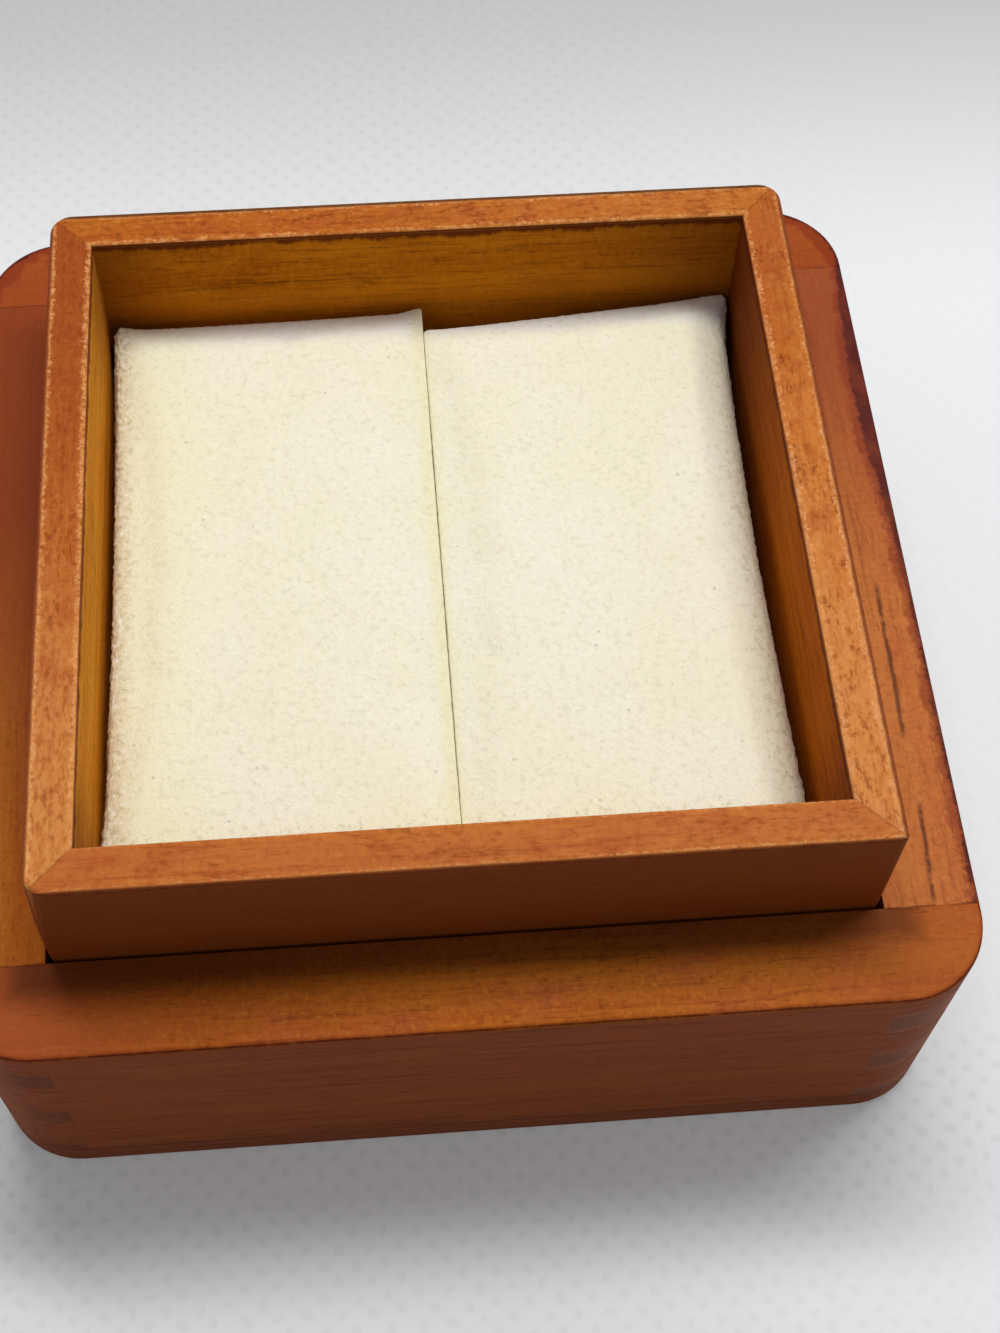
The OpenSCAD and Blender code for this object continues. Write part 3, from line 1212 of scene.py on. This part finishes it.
    def form(self, t: float, foot: float, rows: int, draw: float) -> list[np.ndarray]:
        """The rings of the pad's form, with a layer taken off it.

        Args:
            t: The layer's thickness.
            foot: The height of the last ring.
            rows: How many rings stand below the rolled edge.
            draw: How far the sides are drawn in at half height.

        Returns:
            The rings from the lid's rim down to the foot.
        """
        brow = self.height - self.crown - t
        radii = (self.wall_r, self.end_r, self.slit_r)
        rings = []
        for a in self.roll_turns:
            c, s = math.cos(math.radians(a)), math.sin(math.radians(a))
            rings.append(self.ring(tuple(t + r * (1 - c) for r in radii), brow, 0, 1 - s))
        for k in range(1, rows + 1):
            share = k / rows
            z = brow + (foot - brow) * share
            rings.append(self.ring((t, t, t), z, draw * math.sin(math.pi * share), 1 - share))
        return rings

    def mesh_piece(self, name: str, points: np.ndarray, faces: list[tuple]) -> Object:
        """Makes a mesh object and puts it in the scene.

        Args:
            name: The piece's name.
            points: Its points in the pad's own frame.
            faces: Its faces.

        Returns:
            The object.
        """
        mesh = bpy.data.meshes.new(name)
        mesh.from_pydata(points.tolist(), [], faces)
        mesh.validate()
        return put(name, mesh)

    def subdivide(self, piece: Object, levels: int) -> None:
        """Applies a subdivision surface.

        Args:
            piece: The mesh.
            levels: How often each face is split.
        """
        rounds = piece.modifiers.new("rounds", "SUBSURF")
        rounds.levels = rounds.render_levels = levels
        rounds.boundary_smooth = "ALL"
        evaluated = piece.evaluated_get(bpy.context.evaluated_depsgraph_get())
        smooth = bpy.data.meshes.new_from_object(evaluated)
        piece.modifiers.clear()
        old, piece.data = piece.data, smooth
        bpy.data.meshes.remove(old)

    def swell(self, piece: Object, pinned: int) -> None:
        """Fills the cover: Cloth with pressure and no gravity, at ten times its size.

        Args:
            piece: The cover's mesh, a little slack.
            pinned: The first of the points that are glued to the card.
        """
        start = points_of(piece)
        piece.data.transform(Matrix.Scale(self.fill_scale, 4))
        pins = piece.vertex_groups.new(name="glued")
        pins.add(list(range(pinned, len(start))), 1.0, "REPLACE")
        cloth = piece.modifiers.new("fill", "CLOTH")
        cloth.settings.vertex_group_mass = "glued"
        cloth.settings.use_pressure = True
        cloth.settings.uniform_pressure_force = self.fill_pressure
        cloth.settings.effector_weights.gravity = 0
        cloth.point_cache.frame_start, cloth.point_cache.frame_end = 1, self.fill_frames
        cloth.collision_settings.use_collision = False
        for number in range(1, self.fill_frames + 1):
            bpy.context.scene.frame_set(number)
        evaluated = piece.evaluated_get(bpy.context.evaluated_depsgraph_get())
        filled = points_of(evaluated) / self.fill_scale
        piece.modifiers.clear()
        piece.vertex_groups.clear()
        bpy.context.scene.frame_set(1)
        move = filled - start
        length = np.linalg.norm(move, axis=1, keepdims=True)
        log.info("%s cloth moved up to %.2f mm before its cap", piece.name, length.max() / MM)
        soft = self.swell_cap * np.tanh(length / self.swell_cap)
        set_points(piece, start + move * soft / np.maximum(length, 1e-9))

    def sculpt(self, points: np.ndarray) -> np.ndarray:
        """Settles the pad's top and pulls its corners, and keeps it in its half of the well.

        Args:
            points: The points of the form in the pad's own frame.

        Returns:
            The moved points.
        """
        p = points.copy()
        across = np.clip(0.5 + points[:, 0] / self.width, 0, 1)
        back = np.clip(0.5 + points[:, 1] / self.length, 0, 1)
        up = points[:, 2] / self.height
        p[:, 0] += np.interp(back, self.inset_at, self.inset) * MM * up * (1 - across)
        p[:, 1] -= (self.settle * across * back**3 + self.set_back * back**6) * up
        ends = np.abs(2 * back - 1)
        p[:, 0] += self.press * up**3 * (across**8 - self.wall_press * (1 - across) ** 8)
        p[:, 1] += self.press * up**3 * np.sign(points[:, 1]) * ends**14
        near = np.maximum(across**12, ends**20)
        near = np.maximum(near, self.wall_press * (1 - across) ** 12)
        p[:, 2] += self.edge_rise * up**4 * near + self.lift * up**3 * (1 - across) ** 36 * back**8
        for pull in self.pulls:
            away = np.linalg.norm(points - np.array(pull.at) * MM, axis=1) / (pull.reach * MM)
            p += np.exp(-(away**2))[:, None] * (np.array(pull.move) * MM)
        side, end = self.width / 2, self.length / 2 + self.spare
        p[:, 0] = np.clip(p[:, 0], -side - 1.8 * self.spare, side + self.spare)
        p[:, 1] = np.clip(p[:, 1], -end, end)
        p[:, 2] = np.maximum(p[:, 2], 0)
        return p

    def nap(self, piece: Object) -> None:
        """Raises the short nap on the outside of the cover, longer on the roll along the liner.

        Args:
            piece: The cover's mesh, before it has its lining.
        """
        points, normals = points_of(piece), points_of(piece, "normal")
        seed = Vector((0, 0, self.nap_seed * self.side.value))
        rise = np.zeros(len(points))
        for i in range(len(points)):
            at = Vector(points[i] / MM) + seed
            fine, finer, soft = (noise.noise(at * scale) for scale in self.nap_scales)
            roll = max(0.0, -points[i][0] / MM - self.fuzz_from) * self.fuzz
            tufts = fine + finer * self.finer_share
            rise[i] = (self.nap_rise + roll) * tufts + self.soft_rise * soft
        set_points(piece, points + normals * rise[:, None] * MM)

    def cover(self) -> Object:
        """Makes the velour cover: over the foam, down the sides and turned under the card.

        Returns:
            The cover in the pad's own frame.
        """
        rings = self.form(0, self.hem_from, self.cover_rows, self.draw)
        glued = len(self.lid_rim()) * (len(rings) - 1) + (self.across + 1) * (self.down + 1)
        rings += [self.ring((inwards * MM,) * 3, z * MM) for inwards, z in self.hem_turn]
        points, faces = self.net(rings, self.crown * self.slack)
        piece = self.mesh_piece(f"{self.name}_velour_cover", points, faces)
        self.swell(piece, glued)
        self.subdivide(piece, self.splits)
        self.nap(piece)
        self.line(piece)
        set_points(piece, self.sculpt(points_of(piece)))
        return piece

    def line(self, piece: Object) -> None:
        """Closes the cover with its lining, from the hem's edge up inside it.

        Args:
            piece: The cover's mesh, open at the hem's edge.
        """
        t = self.cover_t
        rings = self.form(t, t, self.lining_rows, self.draw)
        rings.append(self.ring((self.hem_w - t,) * 3, t))
        rings.append(self.ring((self.hem_w,) * 3, t * 0.9))
        points, faces = self.net(rings, self.crown)
        count = len(rings[0])
        mesh = bmesh.new()
        mesh.from_mesh(piece.data)
        start = len(mesh.verts)
        hem = border(mesh)
        verts = [mesh.verts.new(p) for p in points]
        for face in faces:
            mesh.faces.new([verts[i] for i in reversed(face)])
        inner = verts[-count:]
        # The hem's points are put in the order of the lining's, from the nearest one on.
        shift = min(range(len(hem)), key=lambda i: (hem[i].co - inner[0].co).length)
        hem = hem[shift:] + hem[:shift]
        ahead, behind = hem[len(hem) // 8].co, hem[-len(hem) // 8].co
        goal = inner[count // 8].co
        if (ahead - goal).length > (behind - goal).length:
            hem = [hem[0]] + hem[:0:-1]
        # Each edge of the lining meets several finer ones of the hem.
        fine = len(hem) // count
        for k in range(count):
            a, b = inner[k], inner[(k + 1) % count]
            for j in range(fine):
                p, q = hem[k * fine + j], hem[(k * fine + j + 1) % len(hem)]
                mesh.faces.new((p, a if j < fine // 2 else b, q))
            mesh.faces.new((hem[k * fine + fine // 2], a, b))
        bmesh.ops.recalc_face_normals(mesh, faces=mesh.faces)
        mesh.to_mesh(piece.data)
        mesh.free()
        log.info("%s: %d points outside, %d inside", piece.name, start, len(verts))

    def foam(self) -> Object:
        """Makes the foam block, which fills the cover down to the card.

        Returns:
            The block in the pad's own frame.
        """
        t = self.cover_t + self.layer_gap
        foot = t + self.card_t
        rings = self.form(t, foot, self.foam_rows, self.draw)
        points, faces = self.net(rings, self.crown)
        below = self.lid(rings[-1], 0).reshape(-1, 3)
        start = len(points)
        faces += [(start + a, start + d, start + c, start + b) for a, b, c, d in self.grid_faces()]
        piece = self.mesh_piece(f"{self.name}_foam_block", np.vstack([points, below]), faces)
        mesh = bmesh.new()
        mesh.from_mesh(piece.data)
        bmesh.ops.remove_doubles(mesh, verts=mesh.verts, dist=self.weld)
        bmesh.ops.recalc_face_normals(mesh, faces=mesh.faces)
        mesh.to_mesh(piece.data)
        mesh.free()
        points = self.sculpt(points_of(piece))
        set_points(piece, points)
        pits = [abs(noise.noise(Vector(p / MM) * self.pit_scale)) for p in points]
        sunk = points_of(piece, "normal") * np.array(pits)[:, None] * self.pit_depth * MM
        set_points(piece, points - sunk)
        return piece

    def place(self, piece: Object, node: str, slot: str, material: Material, fill: float) -> None:
        """Puts a finished piece in the well on its pad's body, gives it its finish and hides its
        CAD node.

        Args:
            piece: The mesh in the pad's own frame.
            node: The CAD node that it stands for.
            slot: The material slot's name. Not used.
            material: Its finish.
            fill: How full it is, from 0 to 1. Not used.
        """
        mirror = Matrix.Scale(-float(self.side.value), 4, Vector((1, 0, 0)))
        piece.data.transform(Matrix.Translation((self.middle, 0, self.foot)) @ mirror)
        if self.side is Side.RIGHT:
            piece.data.flip_normals()
        piece.data.polygons.foreach_set("use_smooth", [True] * len(piece.data.polygons))
        piece.data.materials.clear()
        piece.data.materials.append(material)
        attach(piece, self.name)
        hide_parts(node)
        log.info("pad piece %s, %d faces", piece.name, len(piece.data.polygons))

    def build(self, cover: Material, foam: Material, card: Material) -> None:
        """Makes the pad's cover and foam and dresses its card.

        Args:
            cover: The velour.
            foam: The foam's finish.
            card: The card's finish.
        """
        self.place(self.cover(), f"{self.name}_cover", "pad_velour", cover, 0.85)
        self.place(self.foam(), f"{self.name}_foam", "pad_foam", foam, 0.9)
        dress(f"{self.name}_card", card)
        log.info("pad piece %s_card", self.name)


def border(mesh: bmesh.types.BMesh) -> list[bmesh.types.BMVert]:
    """Walks round the one open edge of a mesh.

    Args:
        mesh: The mesh.

    Returns:
        The points of the edge in order.
    """
    edges = {e for e in mesh.edges if e.is_boundary}
    first = next(iter(sorted(edges, key=lambda e: e.index)))
    walk = [first.verts[0], first.verts[1]]
    edges.discard(first)
    while edges:
        step = next(e for e in walk[-1].link_edges if e in edges)
        edges.discard(step)
        walk.append(step.other_vert(walk[-1]))
    return walk[:-1]


def points_of(piece: Object, what: str = "co") -> np.ndarray:
    """Reads a vector of every point of a mesh.

    Args:
        piece: The mesh.
        what: Blender's name for the vector: the point's place or its normal.

    Returns:
        The vectors, one to a row.
    """
    found = np.empty(len(piece.data.vertices) * 3)
    piece.data.vertices.foreach_get(what, found)
    return found.reshape(-1, 3)


def set_points(piece: Object, points: np.ndarray) -> None:
    """Moves the points of a mesh to an array's places."""
    piece.data.vertices.foreach_set("co", points.ravel())
    piece.data.update()


def seen(tree: bpy.types.NodeTree) -> Socket:
    """Tells where the surroundings are looked at, also in gloss or through glass.

    Args:
        tree: The floor's or the room's nodes.

    Returns:
        An output that is 1 there and 0 where they only give light.
    """
    path = tree.nodes.new("ShaderNodeLightPath")
    found = path.outputs["Is Camera Ray"]
    for name in ("Is Glossy Ray", "Is Transmission Ray"):
        larger = tree.nodes.new("ShaderNodeMath")
        larger.operation = "MAXIMUM"
        tree.links.new(found, larger.inputs[0])
        tree.links.new(path.outputs[name], larger.inputs[1])
        found = larger.outputs[0]
    return found


@dataclass(frozen=True)
class FloorCloth:
    """The pale dotted cloth that the box stands on. Its colour carries painted light and shade:
    lighter to the right and in the middle, and darker far behind.

    Each reach is where a part begins and where it is full, in mm along x or y.
    """

    dim: str = "CFD0D1"
    drifting: str = "D2D3D4"
    # The light and far colours are painted light and painted shade.
    light: str = "DFE1E3"
    far: str = "ABABA8"
    dot: str = "7A7C7E"
    bounce: str = "BABCBE"
    haze: str = "F4F6FA"
    right: Pair = (0.0, 45.0)
    middle: Pair = (-20.0, 20.0)
    back: Pair = (45.0, 110.0)
    dot_pitch: float = 2.6
    stray: float = 1.8
    glow: float = 0.12
    weave_depth: float = 0.06

    def mix(self) -> Material:
        """Mixes the cloth.

        Returns:
            The material.
        """
        paint = Paint("pale_cloth")
        ease = paint.ease
        x, y = paint.x, paint.y
        weave = paint.pattern((0.35, 0.35, 0))
        bent = weave * self.stray
        turn = 2 * math.pi / self.dot_pitch
        rows = [paint.math("SINE", place * turn) for place in (x + bent, y - bent)]
        dots = ease(rows[0] * rows[1], 0.1, 1.0)
        front = ease(y, -52, -42) * ease(y, -30, -40)
        colour = paint.coats(
            self.dim,
            (self.drifting, paint.pattern((0.01, 0.01, 0), 1)),
            # Painted light to the right and in the middle, and painted shade far behind.
            (self.light, paint.most(ease(x, *self.right), ease(y, *self.middle))),
            (self.far, ease(y, *self.back)),
            (self.dot, dots * (ease(x, 60, 10) * 0.08 + front * 0.1 + 0.02)),
        )
        shown = Field(paint, seen(paint.tree))
        colour = paint.blend(self.bounce, colour, shown)
        made = paint.finish(colour, 0.9, weave, self.weave_depth * MM, Specular_IOR_Level=0.1)
        shader = paint.tree.nodes["Principled BSDF"]
        shader.inputs["Emission Color"].default_value = linear(self.haze)
        paint.feed(shader.inputs["Emission Strength"], shown * self.glow)
        return made


@dataclass(frozen=True)
class Studio:
    """The pale floor, the soft light from behind and above, and the camera. Sizes are in metres."""

    lens: float = 53.587
    film: float = 36.0
    clip: Pair = (0.005, 20.0)
    shift: Pair = (0.013, -0.03)
    eye: Triple = (-0.005536, -0.089728, 0.169409)
    right: Triple = (0.99698088, -0.07614032, 0.01522429)
    down: Triple = (-0.05768415, -0.85752892, -0.51119143)
    ahead: Triple = (0.05197754, 0.50876988, -0.85933203)
    lamp_at: Triple = (0.074, 0.197, 0.6)
    lamp_size: Pair = (0.56, 0.09)
    lamp_power: float = 3.25
    fill: float = 0.31
    room: str = "FAF9F8"
    backdrop: str = "E4E7EA"
    floor_reach: float = 1.5
    cloth: FloorCloth = FloorCloth()

    def camera(self) -> None:
        """Sets up the camera of the photograph."""
        made = bpy.data.cameras.new("camera")
        made.lens, made.sensor_width = self.lens, self.film
        made.shift_x, made.shift_y = self.shift
        made.clip_start, made.clip_end = self.clip
        turn = Matrix((self.right, [-v for v in self.down], [-v for v in self.ahead])).transposed()
        at = Matrix.Translation(self.eye)
        bpy.context.scene.camera = put("camera", made, at @ turn.to_4x4())

    def light(self) -> None:
        """Hangs the lamp and sets the fill of the room."""
        made = bpy.data.lights.new("soft_lamp", "AREA")
        made.shape = "RECTANGLE"
        made.size, made.size_y = self.lamp_size
        made.energy = self.lamp_power
        at = Vector(self.lamp_at)
        aim = at.to_track_quat("Z", "Y").to_matrix().to_4x4()
        put("soft_lamp", made, Matrix.Translation(at) @ aim)
        world = bpy.data.worlds.new("room")
        bpy.context.scene.world = world
        world.use_nodes = True
        tree = world.node_tree
        tree.nodes.clear()
        choose = tree.nodes.new("ShaderNodeMixShader")
        output = tree.nodes.new("ShaderNodeOutputWorld")
        for colour, strength, socket in ((self.room, self.fill, 1), (self.backdrop, 1.0, 2)):
            sky = tree.nodes.new("ShaderNodeBackground")
            sky.inputs["Color"].default_value = linear(colour)
            sky.inputs["Strength"].default_value = strength
            tree.links.new(sky.outputs[0], choose.inputs[socket])
        tree.links.new(seen(tree), choose.inputs[0])
        tree.links.new(choose.outputs[0], output.inputs["Surface"])

    def floor(self) -> None:
        """Lays the pale cloth that the box stands on."""
        mesh = bmesh.new()
        bmesh.ops.create_grid(mesh, x_segments=8, y_segments=8, size=self.floor_reach)
        made = bpy.data.meshes.new("floor")
        mesh.to_mesh(made)
        mesh.free()
        made.materials.append(self.cloth.mix())
        put("floor", made)

    def build(self) -> None:
        """Sets the stage."""
        bpy.context.scene.view_settings.view_transform = "Standard"
        self.camera()
        self.light()
        self.floor()


LEFT_PAD = RingPad(
    Side.LEFT, set_back=1.08 * MM, settle=-0.5 * MM, fuzz=0.06,
    inset=(-0.05, 0.55, 0.7, 0.68, 0.65, 0.5),
    pulls=(
        Pull((-14, 28.2, 25.6), 1.3, (-0.1, 0.4, 1.1)),
        Pull((14, 28.2, 25.6), 1.3, (0.2, 0.4, 0.9)),
    ),
)
RIGHT_PAD = RingPad(
    Side.RIGHT, wall_r=1.7 * MM, wall_press=0.9, set_back=0.35 * MM, settle=2.6 * MM, fuzz=0.05,
    lift=0.6 * MM, inset=(0.75, 0.93, 1.15, 1.0, 0.88, 0.1),
    pulls=(
        Pull((14, 28.2, 25.6), 0.9, (0.3, 0.6, 0.1)),
        Pull((-14, 28.2, 25.6), 1.6, (-0.5, 0.4, 0.2)),
    ),
)


def main() -> None:
    """Builds the stage and the box."""
    logging.basicConfig(level=logging.INFO, format="%(name)s: %(message)s")
    Studio().build()
    Base().build()
    Liner().build()
    finishes = [finish.mix() for finish in (Velour(), FoamCells(), CardPulp())]
    for pad in (LEFT_PAD, RIGHT_PAD):
        pad.build(*finishes)


if __name__ == "__main__":
    main()
